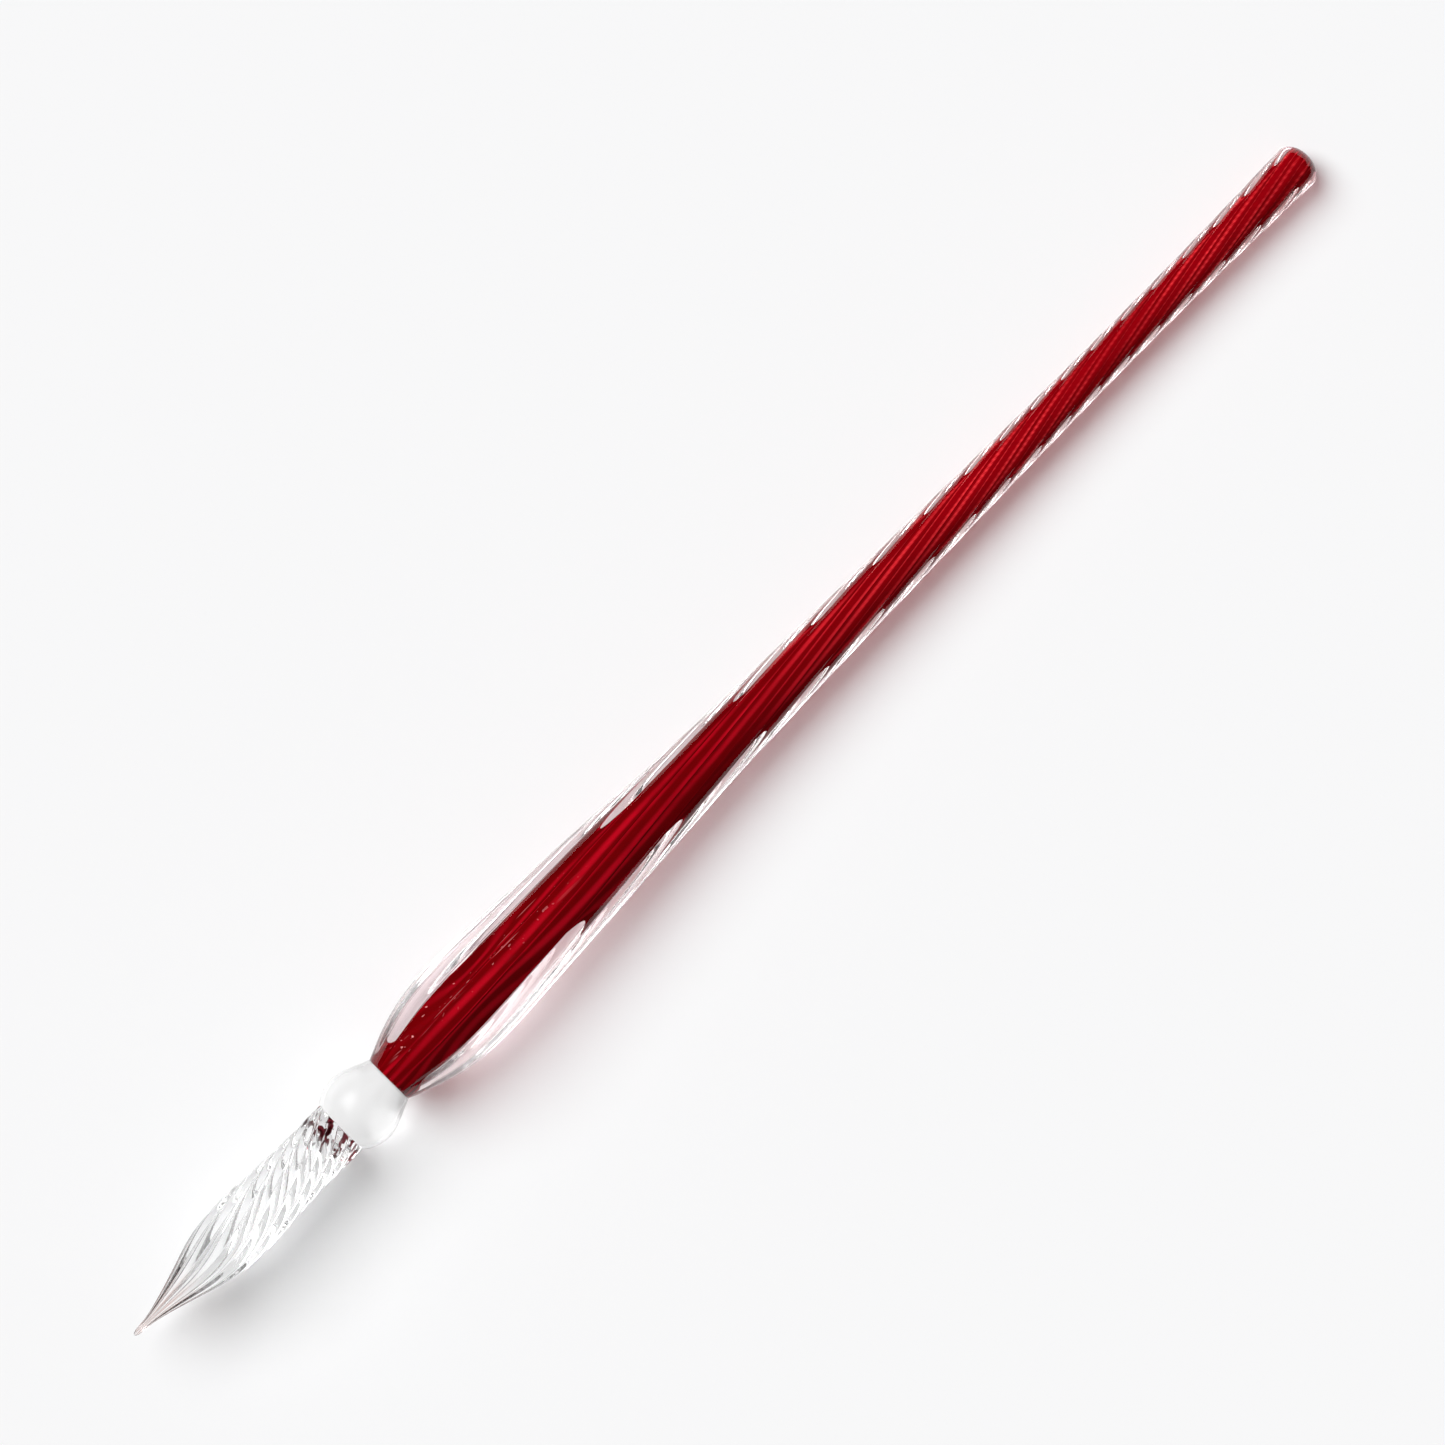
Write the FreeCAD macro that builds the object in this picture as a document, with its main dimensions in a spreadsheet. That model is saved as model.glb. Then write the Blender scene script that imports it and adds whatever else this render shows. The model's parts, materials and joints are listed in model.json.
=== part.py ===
import FreeCAD, Part
import math
import os
import Sketcher

from FreeCAD import Placement, Rotation, Vector

# Lampworked glass dip pen, laid down on its bulb and its tail.
#
# Four gathers of glass fused end to end and around each other: a ruby rod, the clear
# jacket around it with its twisted flutes, a clear ball, and a clear fluted nib.
#
# Every sub-part is drawn in the pen's own frame: X runs along the pen from the writing
# tip at 0 to the tail, Y and Z are across it. One shared placement then lays the pen on
# the XY plane, with the origin under the middle of its bounding box.

# ---------------------------------------------------------------- driving dimensions
# Stations are distances from the writing tip along the pen, in mm. Twists are in degrees
# of turn per mm of length, and flute depths are fractions of the radius.
DIMENSIONS = [
    ("overall_length", 180.0),
    # handle outline over the flute crests
    ("neck_station", 38.9), ("neck_radius", 2.98),
    ("throat_station", 42.0), ("throat_radius", 4.24),
    ("cheek_station", 45.5), ("cheek_radius", 5.24),
    ("bulb_station", 50.2), ("bulb_radius", 5.71),
    ("palm_station", 58.0), ("palm_radius", 5.41),
    ("grip_station", 70.0), ("grip_radius", 4.76),
    ("shank_station", 84.0), ("shank_radius", 3.86),
    ("stem_station", 100.0), ("stem_radius", 3.22),
    ("shaft_station", 125.0), ("shaft_radius", 2.63),
    ("waist_station", 152.0), ("waist_radius", 2.24),
    ("flare_station", 169.0), ("flare_radius", 2.39),
    ("tail_station", 178.2), ("tail_radius", 2.61),
    # flutes of the handle
    ("casing_flutes", 15), ("casing_flute_depth", 0.028), ("casing_phase", -1.1),
    ("flute_fade_length", 4.0),
    # twist of those flutes, at handle stations and at four more of its own
    ("neck_twist", 0.5), ("palm_twist", 0.5), ("grip_twist", 1.1), ("shank_twist", 1.35),
    ("stem_twist", 2.3),
    ("quickening_station", 118.0), ("quickening_twist", 3.0),
    ("tight_station", 136.0), ("tight_twist", 5.1),
    ("tightest_station", 145.0), ("tightest_twist", 5.35),
    ("easing_station", 165.0), ("easing_twist", 4.8), ("end_twist", 4.6),
    # ruby core, steered by control points at its ends and at handle stations between
    ("core_neck_radius", 2.10), ("core_bulb_radius", 1.55), ("core_palm_radius", 1.82),
    ("core_grip_radius", 2.25), ("core_shank_radius", 1.78), ("core_stem_radius", 1.66),
    ("core_shaft_radius", 1.42), ("core_waist_radius", 1.14), ("core_tail_radius", 1.28),
    ("core_rim_inset", 0.05),
    # ball, from its seat on the nib to its shoulder on the neck
    ("ball_station", 34.5), ("ball_radius", 4.48),
    # nib outline over the flute crests
    ("nib_tip_radius", 0.15),
    ("nib_point_station", 0.4), ("nib_point_radius", 0.31),
    ("nib_needle_station", 1.4), ("nib_needle_radius", 0.42),
    ("nib_cone_station", 3.9), ("nib_cone_radius", 0.89),
    ("nib_flank_station", 8.0), ("nib_flank_radius", 2.14),
    ("nib_shoulder_station", 12.2), ("nib_shoulder_radius", 3.38),
    ("nib_crown_station", 15.0), ("nib_crown_radius", 3.73),
    ("nib_body_station", 21.5), ("nib_body_radius", 3.51),
    ("nib_root_station", 28.2), ("nib_root_radius", 3.30),
    ("nib_seat_station", 31.6), ("nib_seat_radius", 3.38),
    # flutes of the nib
    ("nib_flutes", 12), ("nib_flute_depth", 0.13), ("nib_seat_depth", 0.05),
    ("nib_phase", 0.0), ("nib_twist_start", 7.0), ("nib_twist_at_seat", 11.5),
]

CORE_STOPS = ["neck", "bulb", "palm", "grip", "shank", "stem", "shaft", "waist"]
TWIST_STOPS = ["neck", "palm", "grip", "shank", "stem", "quickening", "tight", "tightest",
               "easing"]
CREST_POINTS = 9    # points across one flute's rib, from groove to groove
HANDLE_SPANS = 64   # spans along the handle's flutes
DOME_SPANS = 6      # spans around the tail's rounded end
NIB_SPANS = 48      # spans along the nib's flutes
SEAM = 1e-4         # gap that sewing may close, mm
SEAM_FIT = 1e-5     # how closely two neighbouring ribs share their groove line, mm
BORE_RUNOUT = 1.0   # how far the bore's cut runs on past the tail, mm

doc = FreeCAD.newDocument("dip_pen")
sheet = doc.addObject("Spreadsheet::Sheet", "dims")
for row, (alias, number) in enumerate(DIMENSIONS, start=1):
    sheet.set(f"A{row}", alias)
    sheet.set(f"B{row}", str(number))
    sheet.setAlias(f"B{row}", alias)
doc.recompute()


def dim(alias):
    """A driving dimension, as the sheet holds it."""
    return float(sheet.get(alias))


# ---------------------------------------------------------------- twisted flutes
def smooth_step(low, high, value):
    into = min(max((value - low) / (high - low), 0.0), 1.0)
    return into * into * (3 - 2 * into)


def outline(names, spans, first_point=None):
    """(station, radius) pairs evenly spaced along a smooth curve through named points."""
    points = [Vector(dim(f"{name}_station"), dim(f"{name}_radius"), 0) for name in names]
    if first_point:
        points.insert(0, first_point)
    curve = Part.BSplineCurve()
    curve.interpolate(points)
    return [(point.x, point.y) for point in curve.discretize(spans + 1)]


def rib_face(stations, flutes, depth_at, turn_at, phase):
    """One rib's outer skin, from groove to groove, twisted along the pen."""
    pitch = 2 * math.pi / flutes
    grid = []
    for step in range(CREST_POINTS):
        across = step / (CREST_POINTS - 1) - 0.5
        below_crest = 1 - math.cos(math.pi * across)
        line = []
        for station, radius in stations:
            reach = radius * (1 - depth_at(station) * below_crest)
            angle = phase + pitch * across + turn_at(station)
            line.append(Vector(station, reach * math.cos(angle), reach * math.sin(angle)))
        grid.append(line)
    surface = Part.BSplineSurface()
    surface.interpolate(grid)
    return surface.toShape()


def fluted_solid(stations, flutes, depth_at, turn_at, phase):
    """A solid of identical twisted ribs side by side, closed by a flat face at each end."""
    rib = rib_face(stations, flutes, depth_at, turn_at, phase)
    faces = []
    for index in range(flutes):
        copy = rib.copy()
        copy.rotate(Vector(0, 0, 0), Vector(1, 0, 0), 360.0 * index / flutes)
        faces.append(copy)
    ends = []
    for station, _ in (stations[0], stations[-1]):
        rim = [edge for face in faces for edge in face.Edges
               if all(abs(vertex.X - station) < SEAM for vertex in edge.Vertexes)]
        ends.append(Part.Face(Part.Wire(Part.sortEdges(rim)[0])))
    skin = Part.makeCompound(faces + ends)
    skin.sewShape(SEAM)
    skin.fixTolerance(SEAM_FIT)
    return Part.Solid(skin.Shells[0])


# ---------------------------------------------------------------- sketched profiles
def profile_sketch(body, name):
    """A sketch on the body's own XY plane."""
    sketch = body.newObject("Sketcher::SketchObject", name)
    plane = next(feature for feature in body.Origin.OriginFeatures
                 if feature.Role == "XY_Plane")
    sketch.AttachmentSupport = [(plane, "")]
    sketch.MapMode = "FlatFace"
    return sketch


def bind(sketch, kind, expression, value, *places):
    """A driving constraint whose size follows the sheet."""
    index = sketch.addConstraint(Sketcher.Constraint(kind, *places, value))
    sketch.setExpression(f"Constraints[{index}]", expression)


def bind_point(sketch, geometry, end, station, radius):
    """Hold a point at a station and a radius, each an expression on the sheet."""
    point = sketch.getPoint(geometry, end)
    bind(sketch, "DistanceX", station, point.x, -1, 1, geometry, end)
    bind(sketch, "DistanceY", radius, point.y, -1, 1, geometry, end)


def join(sketch, *joints):
    for first, first_end, second, second_end in joints:
        sketch.addConstraint(
            Sketcher.Constraint("Coincident", first, first_end, second, second_end))


def core_flank(sketch):
    """The ruby core's smooth side, from the neck to its rim just inside the rounded tail."""
    crown_station = ("dims.tail_station + (dims.overall_length - dims.tail_station)"
                     " * sqrt(1 - (dims.core_tail_radius / dims.tail_radius) ^ 2)"
                     " - dims.core_rim_inset")
    crown_part = math.sqrt(1 - (dim("core_tail_radius") / dim("tail_radius")) ** 2)
    crown_x = (dim("tail_station") + crown_part * (dim("overall_length") - dim("tail_station"))
               - dim("core_rim_inset"))
    stops = [(name, name) for name in CORE_STOPS] + [("flare", "tail")]
    poles = [Vector(dim(f"{place}_station"), dim(f"core_{size}_radius"), 0)
             for place, size in stops]
    poles.append(Vector(crown_x, dim("core_tail_radius"), 0))
    curve = Part.BSplineCurve()
    curve.buildFromPoles(poles, False, 3)
    flank = sketch.addGeometry(curve, False)
    sketch.exposeInternalGeometry(flank)
    for index, (place, size) in enumerate(stops):
        bind_point(sketch, flank + 1 + index, 3,
                   f"dims.{place}_station", f"dims.core_{size}_radius")
    bind_point(sketch, flank + len(poles), 3, crown_station, "dims.core_tail_radius")
    return flank, poles[0], poles[-1]


def close_on_axis(sketch, flank, start, end_geometry, end_point, end_x):
    """Close a half section from its far end on the axis back to the flank's start."""
    near = Vector(start.x, 0, 0)
    axis = sketch.addGeometry(Part.LineSegment(Vector(end_x, 0, 0), near), False)
    face = sketch.addGeometry(Part.LineSegment(near, start), False)
    join(sketch, (end_geometry, end_point, axis, 1), (axis, 2, face, 1), (face, 2, flank, 1))
    for point in (1, 2):
        sketch.addConstraint(Sketcher.Constraint("PointOnObject", axis, point, -1))
    sketch.addConstraint(Sketcher.Constraint("Vertical", face))


def core_profile(body):
    """Half section of the ruby core, with a low crown at the tail."""
    sketch = profile_sketch(body, "core_outline")
    flank, start, rim = core_flank(sketch)
    apex = Vector(dim("overall_length"), 0, 0)
    rise = apex.x - rim.x
    sphere = (rim.y ** 2 + rise ** 2) / (2 * rise)
    middle = math.asin(rim.y / sphere) / 2
    on_arc = Vector(apex.x - sphere * (1 - math.cos(middle)), sphere * math.sin(middle), 0)
    crown = sketch.addGeometry(Part.Arc(apex, on_arc, rim), False)
    join(sketch, (flank, 2, crown, 2))
    close_on_axis(sketch, flank, start, crown, 1, apex.x)
    sketch.addConstraint(Sketcher.Constraint("PointOnObject", crown, 3, -1))
    bind(sketch, "DistanceX", "dims.overall_length", apex.x, -1, 1, crown, 1)
    return sketch


def bore_profile(body):
    """Half section of the bore that the core fills, run on straight past the tail."""
    sketch = profile_sketch(body, "bore_outline")
    flank, start, rim = core_flank(sketch)
    end_x = dim("overall_length") + BORE_RUNOUT
    corner = Vector(end_x, rim.y, 0)
    run = sketch.addGeometry(Part.LineSegment(rim, corner), False)
    end = sketch.addGeometry(Part.LineSegment(corner, Vector(end_x, 0, 0)), False)
    join(sketch, (flank, 2, run, 1), (run, 2, end, 1))
    sketch.addConstraint(Sketcher.Constraint("Horizontal", run))
    sketch.addConstraint(Sketcher.Constraint("Vertical", end))
    close_on_axis(sketch, flank, start, end, 2, end_x)
    bind(sketch, "DistanceX", f"dims.overall_length + {BORE_RUNOUT}", end_x, -1, 1, end, 2)
    return sketch


def revolve(body, name, sketch):
    """Turn the sketch right round the pen's axis."""
    feature = body.newObject("PartDesign::Revolution", name)
    feature.Profile = sketch
    feature.ReferenceAxis = (sketch, ["H_Axis"])
    feature.Angle = 360
    body.Tip = feature


# ---------------------------------------------------------------- sub-parts
def make_ruby_core():
    body = doc.addObject("PartDesign::Body", "ruby_core")
    revolve(body, "core_rod", core_profile(body))
    return body


def casing_turn(station):
    """Turn of the handle's flutes: a rate that changes evenly between its stops, added up."""
    stops = [(dim(f"{name}_station"), dim(f"{name}_twist")) for name in TWIST_STOPS]
    stops.append((dim("overall_length"), dim("end_twist")))
    turned = 0.0
    for (start, rate), (end, next_rate) in zip(stops, stops[1:]):
        run = min(max(station - start, 0.0), end - start)
        turned += rate * run + (next_rate - rate) * run ** 2 / (2 * (end - start))
    return -math.radians(turned)


def casing_depth(station):
    """The flutes rise out of the neck and melt away in the rounded tail."""
    neck, tail = dim("neck_station"), dim("tail_station")
    rise = smooth_step(neck, neck + dim("flute_fade_length"), station)
    melt = 1 - smooth_step(tail, dim("overall_length"), station)
    return dim("casing_flute_depth") * rise * melt


def tail_dome():
    """Quarter ellipse round the tail, stopping inside the core's own crown."""
    length = dim("overall_length") - dim("tail_station")
    radius = dim("tail_radius")
    last = math.acos(0.9 * dim("core_tail_radius") / radius)
    angles = [last * step / DOME_SPANS for step in range(1, DOME_SPANS + 1)]
    return [(dim("tail_station") + length * math.sin(angle), radius * math.cos(angle))
            for angle in angles]


def make_fluted_casing():
    names = ["neck", "throat", "cheek", "bulb", "palm", "grip", "shank", "stem", "shaft",
             "waist", "flare", "tail"]
    blank = fluted_solid(outline(names, HANDLE_SPANS) + tail_dome(),
                         int(dim("casing_flutes")), casing_depth, casing_turn,
                         math.radians(dim("casing_phase")))
    bore = doc.addObject("PartDesign::Body", "core_bore")
    revolve(bore, "bore_cutter", bore_profile(bore))
    doc.recompute()
    casing = doc.addObject("Part::Feature", "fluted_casing")
    casing.Shape = blank.cut(bore.Shape)
    if blank.Volume - casing.Shape.Volume < 0.98 * bore.Shape.Volume:
        raise RuntimeError("the bore was not cut out of the casing")
    return casing


def make_ball():
    """Sphere with a flat seat for the nib and a straight shoulder down to the neck."""
    body = doc.addObject("PartDesign::Body", "ball")
    sketch = profile_sketch(body, "ball_outline")
    centre = Vector(dim("ball_station"), 0, 0)
    radius = dim("ball_radius")
    seat_x, neck_x = dim("nib_seat_station"), dim("neck_station")
    seat = Vector(seat_x, math.sqrt(radius ** 2 - (centre.x - seat_x) ** 2), 0)
    neck = Vector(neck_x, dim("neck_radius"), 0)
    reach = neck - centre
    leave = math.atan2(reach.y, reach.x) + math.acos(radius / reach.Length)
    shoulder = centre + Vector(radius * math.cos(leave), radius * math.sin(leave), 0)
    top = centre + Vector(0, radius, 0)

    dome = sketch.addGeometry(Part.Arc(seat, top, shoulder), False)
    slope = sketch.addGeometry(Part.LineSegment(shoulder, neck), False)
    weld = sketch.addGeometry(Part.LineSegment(neck, Vector(neck_x, 0, 0)), False)
    axis = sketch.addGeometry(
        Part.LineSegment(Vector(neck_x, 0, 0), Vector(seat_x, 0, 0)), False)
    flat = sketch.addGeometry(Part.LineSegment(Vector(seat_x, 0, 0), seat), False)
    left_end, right_end = 2, 1      # an arc's ends run anticlockwise
    sketch.addConstraint(Sketcher.Constraint("Tangent", dome, right_end, slope, 1))
    join(sketch, (slope, 2, weld, 1), (weld, 2, axis, 1), (axis, 2, flat, 1),
         (flat, 2, dome, left_end))
    for geometry, point in ((dome, 3), (axis, 1), (axis, 2)):
        sketch.addConstraint(Sketcher.Constraint("PointOnObject", geometry, point, -1))
    for edge in (weld, flat):
        sketch.addConstraint(Sketcher.Constraint("Vertical", edge))
    bind(sketch, "DistanceX", "dims.ball_station", centre.x, -1, 1, dome, 3)
    bind(sketch, "Radius", "dims.ball_radius", radius, dome)
    bind(sketch, "DistanceX", "dims.nib_seat_station", seat_x, -1, 1, axis, 2)
    bind_point(sketch, slope, 2, "dims.neck_station", "dims.neck_radius")
    revolve(body, "ball_glass", sketch)
    return body


def nib_turn(station):
    """Turn of the nib's flutes: none at the point, then tighter all the way to the ball."""
    start, end = dim("nib_twist_start"), dim("nib_seat_station")
    into = max(station - start, 0.0)
    return -math.radians(dim("nib_twist_at_seat") * into ** 2 / (2 * (end - start)))


def nib_depth(station):
    """Full-depth flutes that start just behind the polished point and shallow at the ball."""
    deep, shallow = dim("nib_flute_depth"), dim("nib_seat_depth")
    polished = smooth_step(0.0, dim("nib_needle_station"), station)
    melt = smooth_step(dim("nib_root_station"), dim("nib_seat_station"), station)
    return polished * (deep + (shallow - deep) * melt)


def make_nib():
    names = ["nib_point", "nib_needle", "nib_cone", "nib_flank", "nib_shoulder", "nib_crown",
             "nib_body", "nib_root", "nib_seat"]
    tip = Vector(0, dim("nib_tip_radius"), 0)
    nib = doc.addObject("Part::Feature", "nib")
    nib.Shape = fluted_solid(outline(names, NIB_SPANS, tip), int(dim("nib_flutes")),
                             nib_depth, nib_turn, math.radians(dim("nib_phase")))
    return nib


# ---------------------------------------------------------------- laying the pen down
def lay_down(parts):
    """Rest bulb and tail on the XY plane, with the origin under the pen's middle."""
    drop = dim("bulb_radius") - dim("tail_radius")
    run = dim("tail_station") - dim("bulb_station")
    tilt = Rotation(Vector(0, 1, 0), math.degrees(math.asin(drop / run)))
    whole = Part.makeCompound([part.Shape for part in parts])
    whole.Placement = Placement(Vector(0, 0, 0), tilt)
    box = whole.optimalBoundingBox(False)
    rest = Vector(-box.Center.x, -box.Center.y, -box.ZMin)
    for part in parts:
        part.Placement = Placement(rest, tilt)


def check_document():
    for item in doc.Objects:
        if {"Invalid", "Error"} & set(item.State):
            raise RuntimeError(f"{item.Label} failed: {item.State}")


def export(parts):
    os.makedirs("parts", exist_ok=True)
    for part in parts:
        shape = part.Shape
        if shape.isNull() or not shape.isValid() or len(shape.Solids) != 1:
            raise RuntimeError(f"{part.Label} is not one valid solid")
        shape.exportStep(f"parts/{part.Label}.step")
        print(f"{part.Label}: {shape.Volume:.2f} mm3")


sub_parts = [make_ruby_core(), make_fluted_casing(), make_ball(), make_nib()]
doc.recompute()
check_document()
lay_down(sub_parts)
doc.recompute()
check_document()
export(sub_parts)
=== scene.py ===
import json
import math

import bpy
import numpy as np
from mathutils import Matrix, Vector


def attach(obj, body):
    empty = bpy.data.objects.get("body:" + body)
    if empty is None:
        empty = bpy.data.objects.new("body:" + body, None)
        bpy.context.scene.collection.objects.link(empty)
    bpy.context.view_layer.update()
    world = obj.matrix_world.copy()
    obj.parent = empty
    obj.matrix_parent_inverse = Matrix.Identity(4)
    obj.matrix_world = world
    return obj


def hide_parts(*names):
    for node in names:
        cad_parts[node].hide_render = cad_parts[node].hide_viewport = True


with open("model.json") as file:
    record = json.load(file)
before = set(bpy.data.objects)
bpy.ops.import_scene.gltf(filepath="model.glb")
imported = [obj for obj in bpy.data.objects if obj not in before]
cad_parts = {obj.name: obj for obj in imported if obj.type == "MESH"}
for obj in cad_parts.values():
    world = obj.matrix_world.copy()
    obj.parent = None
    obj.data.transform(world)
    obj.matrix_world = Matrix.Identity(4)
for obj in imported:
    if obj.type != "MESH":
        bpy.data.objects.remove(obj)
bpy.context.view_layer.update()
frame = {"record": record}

# Lampworked glass dip pen: a ruby rod in a clear fluted jacket, a slightly milky ball and a
# clear fluted nib, lying on a white table. Stations and radii below are in millimetres along
# and off the pen's own axis, measured from the writing tip, as in the CAD model.

MM = 0.001
mounts = {mount["name"]: mount for mount in frame["record"]["mounts"]}

# ---------------------------------------------------------------- dimensions, as in the CAD
HANDLE_OUTLINE = [(38.9, 2.98), (42.0, 4.24), (45.5, 5.24), (50.2, 5.71), (58.0, 5.41),
                  (70.0, 4.76), (84.0, 3.86), (100.0, 3.22), (125.0, 2.63), (152.0, 2.24),
                  (169.0, 2.39), (178.2, 2.61)]
NECK, TAIL, END = 38.9, 178.2, 180.0
CORE_POLES = [(38.9, 2.10), (50.2, 1.55), (58.0, 1.82), (70.0, 2.25), (84.0, 1.78),
              (100.0, 1.66), (125.0, 1.42), (152.0, 1.14), (169.0, 1.28), (179.72, 1.28)]
CASING_FLUTES, CASING_DEPTH, CASING_PHASE = 15, 0.028, math.radians(-1.1)
TWIST_RATES = [(38.9, 0.5), (58.0, 0.5), (70.0, 1.1), (84.0, 1.35), (100.0, 2.3),
               (118.0, 3.0), (136.0, 5.1), (145.0, 5.35), (165.0, 4.8), (180.0, 4.6)]
FLUTE_FADE = 4.0            # the length over which the flutes rise from the neck

BALL_STATION, BALL_RADIUS, SEAT = 34.5, 4.48, 31.6

NIB_OUTLINE = [(0.0, 0.15), (0.4, 0.31), (1.4, 0.42), (3.9, 0.89), (8.0, 2.14), (12.2, 3.38),
               (15.0, 3.73), (21.5, 3.51), (28.2, 3.30), (31.6, 3.38)]
NIB_FLUTES, NIB_DEPTH, NIB_SEAT_DEPTH, NIB_PHASE = 12, 0.13, 0.05, 0.0
NIB_TWIST_START, NIB_TWIST_AT_SEAT = 7.0, 11.5

# ---------------------------------------------------------------- fineness of the meshes
CASING_RINGS, CASING_DOME_RINGS, CASING_POINTS_PER_FLUTE = 520, 24, 14
CORE_RINGS, CORE_POINTS_AROUND = 260, 84
BALL_RINGS, SHOULDER_RINGS, BALL_POINTS_AROUND = 90, 12, 128
NIB_RINGS, NIB_POINTS_PER_FLUTE = 300, 16

# ---------------------------------------------------------------- small clearances and ends
CORE_OFF_BALL = 0.02        # the core starts this far behind the ball, so no two faces coincide
CORE_OFF_END = 0.06         # clear glass left over the core at the tail
CORE_CROWN_SHARES = (0.9, 0.75, 0.6, 0.45, 0.3, 0.15)   # of the rim's radius, ring by ring
NIB_APEX = -0.05            # the polished tip bulges this far past its first ring

CORE_TWIST = 1.5            # the ruby's painted caustic lines turn this many times as fast as the flutes

# ---------------------------------------------------------------- glass colours, linear
GLASS_INDEX = 1.5
GLASS_GREY = 0.995

CASING_AT_BULB, CASING_DOWN_SHAFT = (1.0, 0.99, 0.99), (1.0, 0.91, 0.89)
# down the shaft the flutes' flanks get painted shade, and each valley a painted dark-red line for
# the ruby refracted at the cusps
CASING_FLANK_SHADE, CASING_VALLEY_REFRACTION = (0.60, 0.46, 0.48), (0.06, 0.004, 0.012)
# the tail's dome gets a painted red, standing in for the ruby refracted through it
CASING_DOME_REFRACTION = (0.42, 0.12, 0.22)

# the point's grooves get a painted brown tint and the root painted dark-red flecks, both for the
# ruby's red refracted down the ball and nib
NIB_CLEAR, NIB_GROOVE_REFRACTION, NIB_FLECK_REFRACTION = (0.99, 0.99, 0.99), (0.66, 0.43, 0.39), (0.02, 0.0002, 0.0005)

BALL_GREY, BALL_MILK, BALL_ROUGHNESS = 0.87, 0.3, 0.12

RUBY_BODY_AT_BULB, RUBY_BODY_DOWN_SHAFT = (0.10, 0.0, 0.001), (0.21, 0.0, 0.003)
# the lines are painted caustics: light that the flutes would focus onto the ruby
RUBY_CAUSTIC_AT_BULB, RUBY_CAUSTIC_DOWN_SHAFT = (0.34, 0.002, 0.009), (0.66, 0.028, 0.036)
# the seeds are real bubbles, painted bright as glints
RUBY_SEED_GLINT = (0.62, 0.22, 0.22)
RUBY_GLOW, RUBY_GLOW_STRENGTH = (1.0, 0.0, 0.01), 0.02
RUBY_ROUGHNESS = 0.5

# stations in mm, from where a look begins to where it is full
# the dome's red, the point's brown and the root's flecks are painted refraction of the ruby; the
# ruby's lines are painted caustics
CASING_WARMS, DOME_REFRACTION_REDDENS = (80.0, 130.0), (178.4, 179.5)
POINT_REFRACTION_BROWNS, ROOT_REFRACTION_FLECKS = (11.0, 4.0), (25.5, 29.5)
RUBY_BRIGHTENS, CAUSTICS_SHARPEN = (85.0, 135.0), (85.0, 120.0)
SEEDS_FROM_NECK, SEEDS_FROM_GRIP = (40.0, 44.0), (72.0, 50.0)
SEEDED_SIDE = (-0.2 * MM, 1.2 * MM)     # the same, in metres along Y

# levels of the flutes' wave, which is 1 on a crest and -1 in a valley: painted flank shade,
# painted valley refraction line, painted groove tint
FLANK_SHADE_LEVELS, VALLEY_REFRACTION_LEVELS, GROOVE_REFRACTION_LEVELS = (0.7, -0.9), (-0.95, -0.99), (0.2, -1.0)

# the share of the lamp's light that each surface lets straight through into the shadow
CASING_SHADOW = (0.57, 0.50, 0.51)
BALL_SHADOW = (0.68, 0.68, 0.68)
NIB_SHADOW = (0.2, 0.2, 0.2)
RUBY_SHADOW = (0.52, 0.03, 0.05)

# ---------------------------------------------------------------- the studio
TABLE_HALF_WIDTH = 3.0      # metres
TABLE_COLOUR, TABLE_ROUGHNESS, TABLE_SPECULAR = (0.86, 0.86, 0.865), 0.9, 0.1

ROOM_STOPS = ((0.0, 0.40), (0.35, 0.55), (0.8, 0.9))    # height of the direction, grey
ROOM_STRENGTH = 0.16        # what the room sheds on the table
ROOM_THROUGH_GLASS = 0.46   # added where it is seen through glass
ROOM_MIRRORED = -0.13       # taken off where it is mirrored

SOFTBOX_ENERGY, SOFTBOX_SPREAD = 3.8, math.radians(46)
SOFTBOX_FROM = (-0.1, 0.70, 0.95)

FRAME_WIDTH = 156.3 * MM    # how much the picture takes in, edge to edge
FRAME_MIDDLE = (91.62 * MM, 1.62 * MM)      # the picture's middle, along and across the pen
CAMERA_HEIGHT, PEN_HEIGHT = 0.9, 0.005      # metres; FRAME_WIDTH is measured at the pen's height
CAMERA_ROLL = math.radians(-45.16)
SENSOR_WIDTH = 36.0

# ---------------------------------------------------------------- the pen's own frame
tip = Vector(mounts["tip"]["pos_m"])
along = -Vector(mounts["tip"]["axis"]).normalized()
across = Vector((0.0, 1.0, 0.0))
PEN = Matrix.Translation(tip) @ Matrix((along, across, along.cross(across))).transposed().to_4x4()


# ---------------------------------------------------------------- curves
def smooth_step(low, high, value):
    """0 up to low, 1 from high on, and a smooth rise in between."""
    into = min(max((value - low) / (high - low), 0.0), 1.0)
    return into * into * (3 - 2 * into)


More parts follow.
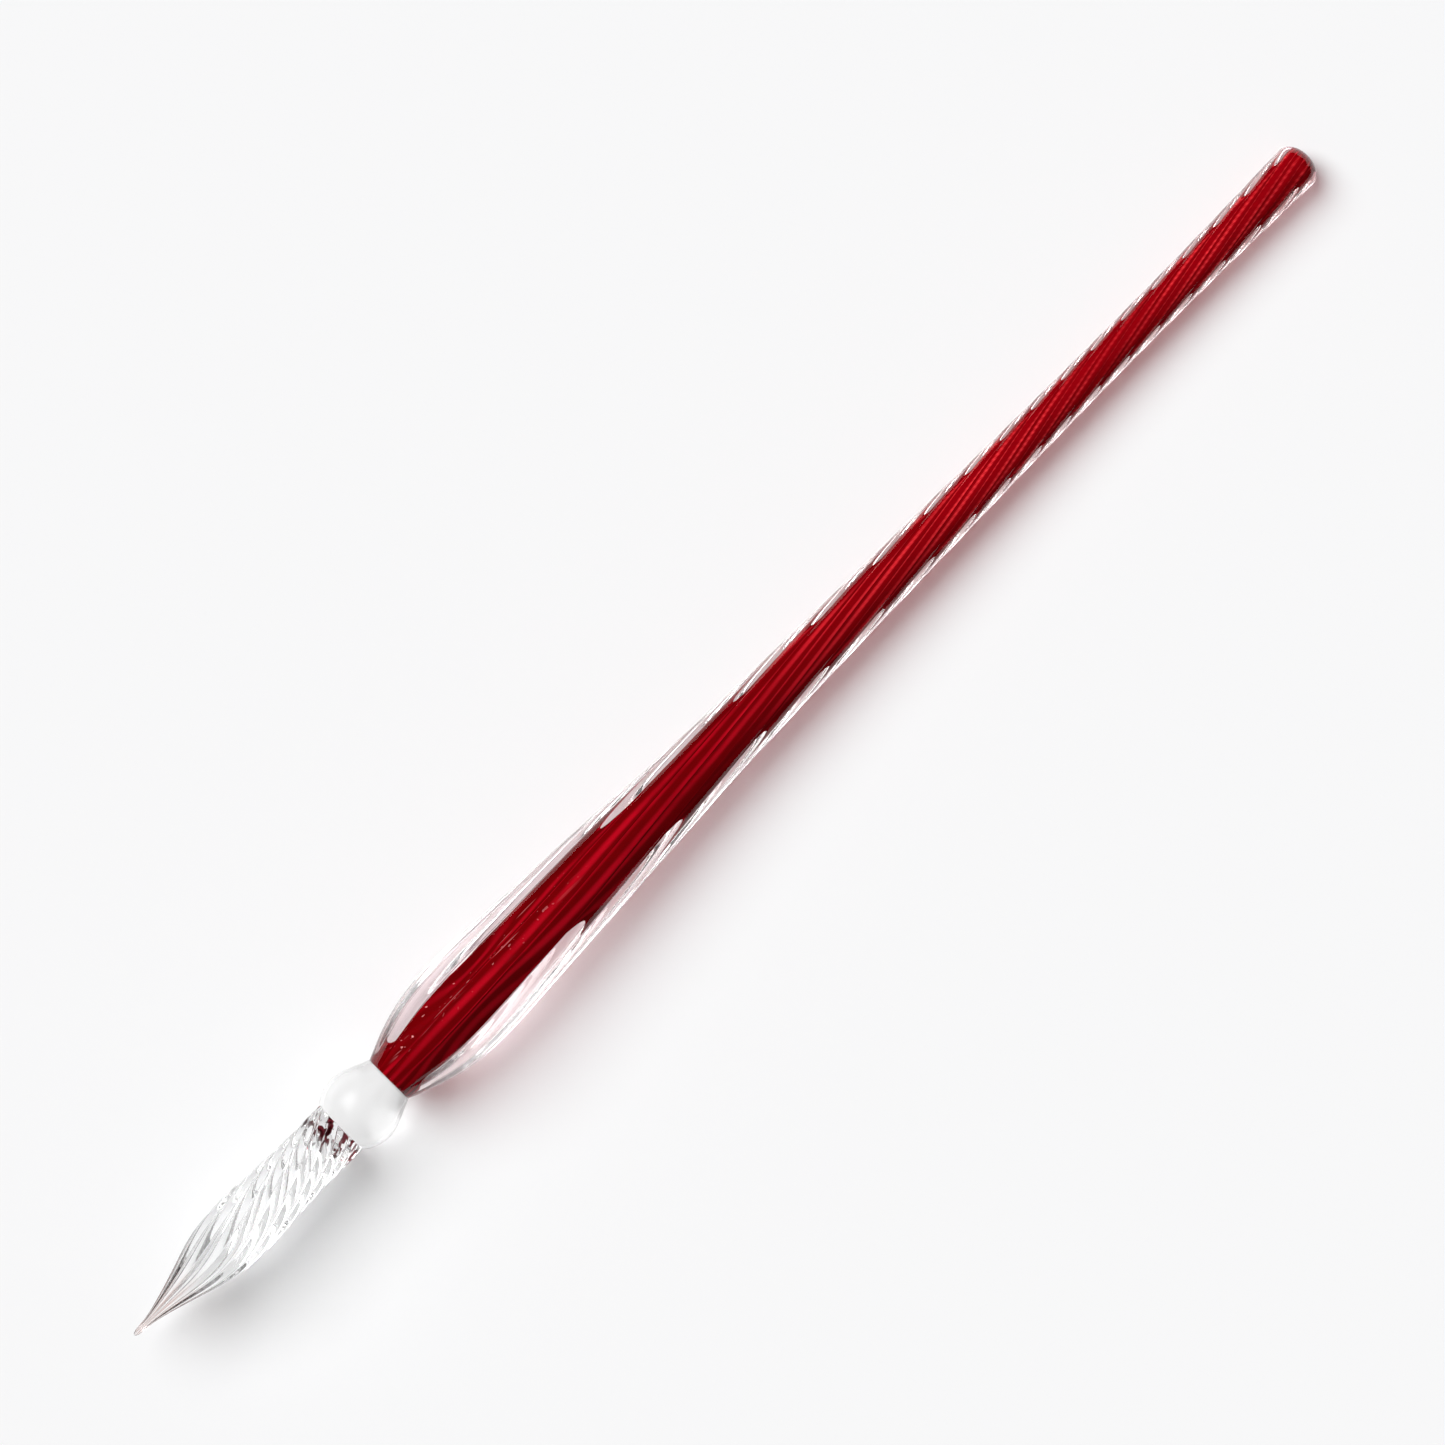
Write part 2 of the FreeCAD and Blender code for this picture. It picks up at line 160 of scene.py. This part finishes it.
def natural_spline(stops, values):
    """The natural cubic spline through (stop, value) pairs, as a function."""
    stops, values = np.array(stops, float), np.array(values, float)
    gaps = np.diff(stops)
    size = len(stops)
    system, right = np.eye(size), np.zeros(values.shape)
    for i in range(1, size - 1):
        system[i, i - 1:i + 2] = gaps[i - 1], 2 * (gaps[i - 1] + gaps[i]), gaps[i]
        right[i] = 6 * ((values[i + 1] - values[i]) / gaps[i]
                        - (values[i] - values[i - 1]) / gaps[i - 1])
    bend = np.linalg.solve(system, right)

    def at(place):
        i = min(max(int(np.searchsorted(stops, place, side="right")) - 1, 0), size - 2)
        a, b = stops[i + 1] - place, place - stops[i]
        return ((bend[i] * a ** 3 + bend[i + 1] * b ** 3) / (6 * gaps[i])
                + (values[i] / gaps[i] - bend[i] * gaps[i] / 6) * a
                + (values[i + 1] / gaps[i] - bend[i + 1] * gaps[i] / 6) * b)
    return at


def spline_through(points, count):
    """Points evenly spaced along a natural cubic spline through the given ones."""
    points = np.array(points, float)
    chord = np.concatenate([[0], np.cumsum(np.hypot(*np.diff(points, axis=0).T))])
    at = natural_spline(chord, points)
    return [tuple(at(place)) for place in np.linspace(0, chord[-1], count)]


def b_spline(poles, count):
    """Points along the clamped cubic B-spline of these poles."""
    poles = np.array(poles, float)
    spans = len(poles) - 3
    knots = [0] * 3 + list(range(spans + 1)) + [spans] * 3
    found = []
    for place in np.linspace(0, spans, count):
        k = min(int(place), spans - 1) + 3
        work = [poles[j + k - 3].copy() for j in range(4)]
        for level in range(1, 4):
            for j in range(3, level - 1, -1):
                low, high = knots[j + k - 3], knots[j + 1 + k - level]
                part = (place - low) / (high - low)
                work[j] = (1 - part) * work[j - 1] + part * work[j]
        found.append(tuple(work[3]))
    return found


def dome(start, radius, length, count):
    """Quarter ellipse from a rim to the apex, without its first point."""
    angles = [math.pi / 2 * i / count for i in range(1, count + 1)]
    return [(start + length * math.sin(a), radius * math.cos(a)) for a in angles]


# ---------------------------------------------------------------- mesh builders
def ringed_mesh(name, rings, apex_start=None, apex_end=None):
    """A closed smooth skin through rings of equal point counts, each (x, y, z) in mm.

    An end without an apex is closed by one flat face."""
    around = len(rings[0])
    points = [point for ring in rings for point in ring]
    faces = []
    for i in range(len(rings) - 1):
        for j in range(around):
            n = (j + 1) % around
            faces.append((i * around + j, i * around + n,
                          (i + 1) * around + n, (i + 1) * around + j))
    for apex, ring, flip in ((apex_start, 0, False), (apex_end, len(rings) - 1, True)):
        base = ring * around
        if apex is None:
            cap = tuple(range(base, base + around))
            faces.append(cap if flip else cap[::-1])
            continue
        points.append(apex)
        apex_index = len(points) - 1
        for j in range(around):
            n = (j + 1) % around
            fan = (base + j, base + n, apex_index)
            faces.append(fan if flip else fan[::-1])
    mesh = bpy.data.meshes.new(name)
    mesh.from_pydata([PEN @ (Vector(point) * MM) for point in points], [], faces)
    mesh.validate()
    mesh.update()
    for face in mesh.polygons:
        face.use_smooth = len(face.vertices) < 5    # all but the flat ends
    piece = bpy.data.objects.new(name, mesh)
    bpy.context.scene.collection.objects.link(piece)
    return piece


def fluted_rings(outline, flutes, per_flute, depth_at, turn_at, phase):
    """Rings of a ribbed, twisted glass cane."""
    count = flutes * per_flute
    pitch = 2 * math.pi / flutes
    rings = []
    for station, radius in outline:
        ring = []
        for j in range(count):
            side = (j % per_flute) / per_flute - 0.5
            below = 1 - math.cos(math.pi * side)
            reach = radius * (1 - depth_at(station) * below)
            angle = phase + pitch * (j / per_flute - 0.5) + turn_at(station)
            ring.append((station, reach * math.cos(angle), reach * math.sin(angle)))
        rings.append(ring)
    return rings


def round_rings(outline, count):
    """Plain round rings along an outline."""
    return [[(station, radius * math.cos(2 * math.pi * j / count),
              radius * math.sin(2 * math.pi * j / count)) for j in range(count)]
            for station, radius in outline]


def mark_flutes(piece, turn_at, flutes, phase):
    """Notes the station at every point, and a wave that is 1 on a crest and -1 in a valley."""
    to_pen = PEN.inverted()
    station = piece.data.attributes.new("station", "FLOAT", "POINT")
    wave = piece.data.attributes.new("flute_wave", "FLOAT", "POINT")
    for index, vertex in enumerate(piece.data.vertices):
        place = (to_pen @ vertex.co) / MM
        turn = math.atan2(place.z, place.y) - turn_at(place.x) - phase
        station.data[index].value = place.x
        wave.data[index].value = math.cos(turn * flutes)


# ---------------------------------------------------------------- the casing and the core
def casing_turn(station):
    """The flutes' turn: twist rates given at stations, even in between, added up."""
    degrees = 0.0
    for (start, low), (end, high) in zip(TWIST_RATES, TWIST_RATES[1:]):
        run = min(max(station - start, 0.0), end - start)
        degrees += low * run + (high - low) * run * run / (2 * (end - start))
    return -math.radians(degrees)


def core_turn(station):
    """The turn of the caustic lines painted on the ruby glass."""
    return CORE_TWIST * casing_turn(station)


def casing_depth(station):
    """The flutes rise out of the round neck and melt away over the fire-polished tail."""
    rise = smooth_step(NECK, NECK + FLUTE_FADE, station)
    return CASING_DEPTH * rise * (1 - smooth_step(TAIL, END, station))


def make_casing():
    outline = spline_through(HANDLE_OUTLINE, CASING_RINGS)
    tail_radius = outline[-1][1]
    outline += dome(TAIL, tail_radius, END - TAIL, CASING_DOME_RINGS)[:-1]
    rings = fluted_rings(outline, CASING_FLUTES, CASING_POINTS_PER_FLUTE, casing_depth,
                         casing_turn, CASING_PHASE)
    piece = ringed_mesh("casing_glass", rings, apex_end=(END, 0, 0))
    mark_flutes(piece, casing_turn, CASING_FLUTES, CASING_PHASE)
    return piece


def make_core():
    outline = [(station + CORE_OFF_BALL, radius)
               for station, radius in b_spline(CORE_POLES, CORE_RINGS)]
    rim_station, rim_radius = outline[-1]
    crown = END - CORE_OFF_END
    outline += [(rim_station + (crown - rim_station) * (1 - share * share), rim_radius * share)
                for share in CORE_CROWN_SHARES]
    rings = round_rings(outline, CORE_POINTS_AROUND)
    piece = ringed_mesh("ruby_glass", rings, apex_end=(crown, 0, 0))
    mark_flutes(piece, core_turn, CASING_FLUTES, CASING_PHASE)
    return piece


# ---------------------------------------------------------------- the ball and the nib
def make_ball():
    """A ball with a flat seat for the nib and a straight shoulder, tangent to it, to the neck."""
    neck = Vector((NECK, HANDLE_OUTLINE[0][1]))
    reach = Vector((NECK - BALL_STATION, HANDLE_OUTLINE[0][1]))
    leave = math.atan2(reach.y, reach.x) + math.acos(BALL_RADIUS / reach.length)
    seat = math.pi - math.asin(math.sqrt(1 - ((BALL_STATION - SEAT) / BALL_RADIUS) ** 2))
    angles = [seat + (leave - seat) * i / BALL_RINGS for i in range(BALL_RINGS + 1)]
    outline = [(BALL_STATION + BALL_RADIUS * math.cos(a), BALL_RADIUS * math.sin(a))
               for a in angles]
    shoulder = Vector(outline[-1])
    outline += [tuple(shoulder.lerp(neck, i / SHOULDER_RINGS))
                for i in range(1, SHOULDER_RINGS + 1)]
    return ringed_mesh("ball_glass", round_rings(outline, BALL_POINTS_AROUND))


def nib_turn(station):
    """Straight at the point, then twisting faster and faster towards the ball."""
    into = max(station - NIB_TWIST_START, 0.0)
    return -math.radians(NIB_TWIST_AT_SEAT * into ** 2 / (2 * (SEAT - NIB_TWIST_START)))


def nib_depth(station):
    """Grooves that start behind the polished tip and get shallow where the ball was welded on."""
    polished = smooth_step(0.0, NIB_OUTLINE[2][0], station)
    melt = smooth_step(NIB_OUTLINE[-2][0], SEAT, station)
    return polished * (NIB_DEPTH + (NIB_SEAT_DEPTH - NIB_DEPTH) * melt)


def make_nib():
    outline = spline_through(NIB_OUTLINE, NIB_RINGS)
    rings = fluted_rings(outline, NIB_FLUTES, NIB_POINTS_PER_FLUTE, nib_depth, nib_turn, NIB_PHASE)
    piece = ringed_mesh("nib_glass", rings, apex_start=(NIB_APEX, 0, 0))
    mark_flutes(piece, nib_turn, NIB_FLUTES, NIB_PHASE)
    return piece


# ---------------------------------------------------------------- node helpers
def new_material(name):
    """A material with an empty node tree, and that tree."""
    material = bpy.data.materials.new(name)
    material.use_nodes = True
    tree = material.node_tree
    tree.nodes.clear()
    return material, tree


def node(tree, kind, operation=None, **inputs):
    """A node with some inputs given, either as numbers or as another node's output.

    An input goes by its name, with _ for a space, or by its number after a _."""
    made = tree.nodes.new("ShaderNode" + kind)
    if operation:
        made.operation = operation
    for name, value in inputs.items():
        socket = made.inputs[int(name[1:]) if name[1:].isdigit() else name.replace("_", " ")]
        if isinstance(value, bpy.types.NodeSocket):
            tree.links.new(value, socket)
        else:
            socket.default_value = value
    return made


def ramp(tree, value, low, high, start=0.0, end=1.0):
    """A smooth rise of value from low to high, given as start to end."""
    made = node(tree, "MapRange", From_Min=low, From_Max=high, To_Min=start, To_Max=end,
                Value=value)
    made.interpolation_type = "SMOOTHSTEP"
    return made.outputs[0]


def blend(tree, factor, first, second):
    """One colour turning into another."""
    made = tree.nodes.new("ShaderNodeMix")
    made.data_type = "RGBA"
    tree.links.new(factor, made.inputs["Factor"])
    for name, colour in (("A", first), ("B", second)):
        if isinstance(colour, bpy.types.NodeSocket):
            tree.links.new(colour, made.inputs[name])
        else:
            made.inputs[name].default_value = (*colour, 1)
    return made.outputs["Result"]


def times(tree, first, second):
    """Two values multiplied."""
    return node(tree, "Math", "MULTIPLY", _0=first, _1=second).outputs[0]


def greater(tree, first, second):
    """The greater of two values."""
    return node(tree, "Math", "MAXIMUM", _0=first, _1=second).outputs[0]


def noted(tree, name):
    """A number that mark_flutes has noted on the mesh."""
    made = node(tree, "Attribute")
    made.attribute_name = name
    return made.outputs["Fac"]


def grain(tree, lengthwise, girthwise, detail=2.0):
    """Noise drawn out along the pen, in waves per metre each way."""
    place = node(tree, "TexCoord")
    stretch = node(tree, "Mapping", Vector=place.outputs["Object"],
                   Scale=(lengthwise, girthwise, girthwise))
    return node(tree, "TexNoise", Vector=stretch.outputs[0], Scale=1.0, Detail=detail).outputs[0]


def finish_glass(tree, surface, shadow):
    """Lets the lamp's light straight through a surface at part strength, tinted."""
    through = node(tree, "BsdfTransparent", Color=(*shadow, 1))
    path = node(tree, "LightPath")
    mix = node(tree, "MixShader", _0=path.outputs["Is Shadow Ray"], _1=surface.outputs[0],
               _2=through.outputs[0])
    node(tree, "OutputMaterial", Surface=mix.outputs[0])


# ---------------------------------------------------------------- materials
def clear_glass(name, shadow, colour=None, grey=GLASS_GREY, milk=0.0, roughness=0.0):
    """Clear or slightly milky glass, in one grey or in the colour that a function paints."""
    material, tree = new_material(name)
    glass = node(tree, "BsdfPrincipled", Transmission_Weight=1.0 - milk, Roughness=roughness,
                 IOR=GLASS_INDEX, Base_Color=(grey, grey, grey, 1))
    if colour:
        tree.links.new(colour(tree), glass.inputs["Base Color"])
    finish_glass(tree, glass, shadow)
    return material


def casing_colour(tree):
    """Clear at the bulb, warmer down the shaft with painted flank shade, painted red refraction in
    each valley.
    """
    station, wave = noted(tree, "station"), noted(tree, "flute_wave")
    shaft = ramp(tree, station, *CASING_WARMS)
    clear = blend(tree, shaft, CASING_AT_BULB, CASING_DOWN_SHAFT)
    # painted shade on the flutes' flanks down the shaft, so the crests read as lighter streaks
    flank_shade = times(tree, shaft, ramp(tree, wave, *FLANK_SHADE_LEVELS))
    flank_shade = times(tree, flank_shade, ramp(tree, grain(tree, 70, 350), 0.35, 0.6, 0.4, 1.0))
    clear = blend(tree, flank_shade, clear, CASING_FLANK_SHADE)
    # a painted dark-red line in each valley, for the ruby refracted at the cusps
    valley_refraction = ramp(tree, wave, *VALLEY_REFRACTION_LEVELS)
    patchy = ramp(tree, grain(tree, 120, 400), 0.3, 0.6, 0.4, 1.0)
    lined = blend(tree, times(tree, valley_refraction, patchy), clear, CASING_VALLEY_REFRACTION)
    # painted red in the tail's dome, for the ruby refracted through it
    return blend(tree, ramp(tree, station, *DOME_REFRACTION_REDDENS), lined, CASING_DOME_REFRACTION)


def nib_colour(tree):
    """Clear, a painted faint brown refraction in the point's grooves, painted red refraction
    flecks by the ball.
    """
    station, wave = noted(tree, "station"), noted(tree, "flute_wave")
    # painted brown tint in the grooves of the point, for the ruby's red carried down the nib
    point = ramp(tree, station, *POINT_REFRACTION_BROWNS)
    groove_refraction = ramp(tree, wave, *GROOVE_REFRACTION_LEVELS)
    tint = blend(tree, times(tree, point, groove_refraction), NIB_CLEAR, NIB_GROOVE_REFRACTION)
    # painted dark-red flecks at the root, for the ruby refracted through the ball
    root = ramp(tree, station, *ROOT_REFRACTION_FLECKS)
    refraction_fleck = ramp(tree, grain(tree, 620, 900, 1.0), 0.59, 0.61)
    return blend(tree, times(tree, root, refraction_fleck), tint, NIB_FLECK_REFRACTION)


def ruby_caustic_lines(tree, station):
    """Dense red with one painted, broken caustic line of light to every flute, brighter down the
    shaft.
    """
    wave = noted(tree, "flute_wave")
    to_tail = ramp(tree, station, *RUBY_BRIGHTENS)
    # painted caustic lines: light that each flute would focus onto the ruby, broken by noise
    caustic_mask = ramp(tree, wave, ramp(tree, station, *CAUSTICS_SHARPEN, -0.5, 0.0), 1.0)
    faintest = ramp(tree, station, *CAUSTICS_SHARPEN, 0.1, 0.35)
    caustic_breaks = ramp(tree, grain(tree, 45, 480), 0.32, 0.64, faintest, 1.0)
    body = blend(tree, to_tail, RUBY_BODY_AT_BULB, RUBY_BODY_DOWN_SHAFT)
    caustic_colour = blend(tree, to_tail, RUBY_CAUSTIC_AT_BULB, RUBY_CAUSTIC_DOWN_SHAFT)
    return blend(tree, times(tree, caustic_mask, caustic_breaks), body, caustic_colour)


def ruby_seed_glints(tree, station):
    """How much of a bubble's painted glint shows, seed or thread: they lie only in the bulb, on
    its +Y side.
    """
    place = node(tree, "SeparateXYZ", Vector=node(tree, "TexCoord").outputs["Object"])
    one_side = ramp(tree, place.outputs["Y"], *SEEDED_SIDE)
    bulb = times(tree, ramp(tree, station, *SEEDS_FROM_NECK),
                 ramp(tree, station, *SEEDS_FROM_GRIP))
    seeded = times(tree, bulb, one_side)
    seed = ramp(tree, grain(tree, 1400, 3800, 1.0), 0.70, 0.76)
    thread = ramp(tree, grain(tree, 70, 3400, 1.0), 0.66, 0.72, 0.0, 0.6)
    return greater(tree, times(tree, seeded, seed), times(tree, seeded, thread))


def ruby(name):
    """The red glass inside: it has no gloss of its own, because the casing is fused to it."""
    material, tree = new_material(name)
    station = noted(tree, "station")
    # painted seed glints over the painted caustic lines
    colour = blend(tree, ruby_seed_glints(tree, station), ruby_caustic_lines(tree, station), RUBY_SEED_GLINT)
    surface = node(tree, "BsdfPrincipled", Base_Color=colour, Roughness=RUBY_ROUGHNESS,
                   Specular_IOR_Level=0.0, Emission_Color=(*RUBY_GLOW, 1),
                   Emission_Strength=RUBY_GLOW_STRENGTH)
    finish_glass(tree, surface, RUBY_SHADOW)
    return material


# ---------------------------------------------------------------- assembly
casing, core, ball, nib = make_casing(), make_core(), make_ball(), make_nib()
for piece, cad_node, slot, material in (
        (casing, "fluted_casing", "casing_glass",
         clear_glass("clear_casing", CASING_SHADOW, casing_colour)),
        (core, "ruby_core", "ruby_glass", ruby("ruby")),
        (ball, "ball", "ball_glass",
         clear_glass("clear_ball", BALL_SHADOW, None, BALL_GREY, BALL_MILK, BALL_ROUGHNESS)),
        (nib, "nib", "nib_glass", clear_glass("clear_nib", NIB_SHADOW, nib_colour))):
    piece.data.materials.append(material)
    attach(piece, "root")
    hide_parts(cad_node)

# ---------------------------------------------------------------- table, light and camera
scene = bpy.context.scene


def make_floor():
    half = TABLE_HALF_WIDTH
    mesh = bpy.data.meshes.new("table")
    mesh.from_pydata([(-half, -half, 0), (half, -half, 0), (half, half, 0), (-half, half, 0)],
                     [], [(0, 1, 2, 3)])
    floor = bpy.data.objects.new("table", mesh)
    scene.collection.objects.link(floor)
    material, tree = new_material("table_white")
    paint = node(tree, "BsdfPrincipled", Base_Color=(*TABLE_COLOUR, 1),
                 Roughness=TABLE_ROUGHNESS, Specular_IOR_Level=TABLE_SPECULAR)
    node(tree, "OutputMaterial", Surface=paint.outputs[0])
    mesh.materials.append(material)


def make_room():
    """A soft room, grey low down and bright above.

    Seen through glass it is bright, mirrored in glass it is faint, as in a polarised studio
    set, and it sheds little light on the table."""
    world = bpy.data.worlds.new("studio")
    scene.world = world
    world.use_nodes = True
    tree = world.node_tree
    direction = node(tree, "SeparateXYZ", Vector=node(tree, "TexCoord").outputs["Generated"])
    greys = node(tree, "ValToRGB", Fac=direction.outputs["Z"])
    stops = greys.color_ramp.elements
    stops.new(ROOM_STOPS[1][0])
    for stop, (height, grey) in zip(stops, ROOM_STOPS):
        stop.position = height
        stop.color = (grey, grey, grey, 1)
    path = node(tree, "LightPath")
    mirrored = node(tree, "Math", "MULTIPLY_ADD", _0=path.outputs["Is Glossy Ray"],
                    _1=ROOM_MIRRORED, _2=ROOM_STRENGTH)
    strength = node(tree, "Math", "MULTIPLY_ADD", _0=path.outputs["Is Transmission Ray"],
                    _1=ROOM_THROUGH_GLASS, _2=mirrored.outputs[0])
    background = tree.nodes["Background"]
    tree.links.new(greys.outputs[0], background.inputs["Color"])
    tree.links.new(strength.outputs[0], background.inputs["Strength"])


def make_softbox():
    """A big soft lamp on the pen's far side, which glass doesn't mirror."""
    data = bpy.data.lights.new("softbox", "SUN")
    data.energy = SOFTBOX_ENERGY
    data.angle = SOFTBOX_SPREAD
    softbox = bpy.data.objects.new("softbox", data)
    scene.collection.objects.link(softbox)
    softbox.rotation_euler = Vector(SOFTBOX_FROM).to_track_quat("Z", "Y").to_euler()
    softbox.visible_glossy = False


def make_camera():
    """Straight down, far off, rolled so that the pen climbs to the upper right."""
    data = bpy.data.cameras.new("camera")
    camera = bpy.data.objects.new("camera", data)
    scene.collection.objects.link(camera)
    scene.camera = camera
    data.sensor_width = SENSOR_WIDTH
    data.lens = SENSOR_WIDTH * (CAMERA_HEIGHT - PEN_HEIGHT) / FRAME_WIDTH
    data.clip_start, data.clip_end = 0.01, 20.0
    middle = PEN @ Vector((*FRAME_MIDDLE, 0))
    camera.matrix_world = (Matrix.Translation((middle.x, middle.y, CAMERA_HEIGHT))
                           @ Matrix.Rotation(CAMERA_ROLL, 4, "Z"))


make_floor()
make_room()
make_softbox()
make_camera()
scene.view_settings.view_transform = "Standard"
scene.view_settings.look = "None"
scene.cycles.max_bounces = 24
scene.cycles.transmission_bounces = 20
scene.cycles.glossy_bounces = 8
scene.cycles.transparent_max_bounces = 24
